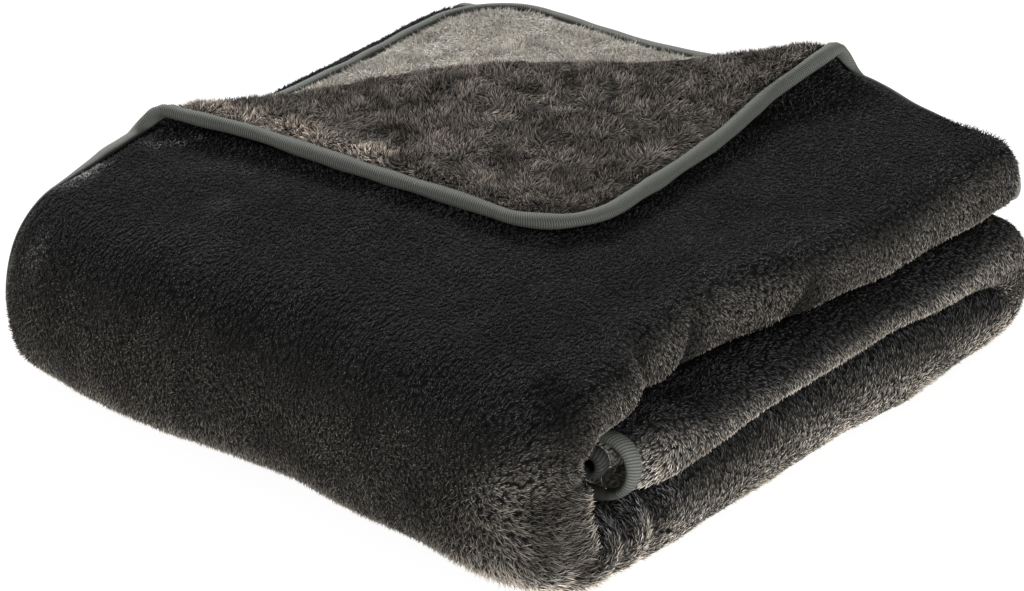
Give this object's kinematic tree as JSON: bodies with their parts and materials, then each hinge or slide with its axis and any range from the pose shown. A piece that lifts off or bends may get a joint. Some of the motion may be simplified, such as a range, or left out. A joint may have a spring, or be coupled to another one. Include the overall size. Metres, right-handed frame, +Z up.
{
  "type": "throw blanket",
  "caption": "Plush throw blanket with a taped edge, folded to a square stack of thick rolls, with the far corner of its top layer turned back to show the light face.",
  "frame": {"origin": "middle of the footprint, on the surface that the stack lies on", "axes": "+X along the big front fold, towards the side with the three rolls; +Y towards the back; +Z up"},
  "size_m": [0.5176, 0.5466, 0.1724],
  "materials": {
    "plush": "short dense pile, dark anthracite outside, lighter grey-taupe on the other face",
    "ribbed_tape": "matte ribbed woven tape"
  },
  "bodies": {
    "root": {"blanket_cloth": "plush", "edge_tape": "ribbed_tape"}
  },
  "joints": []
}
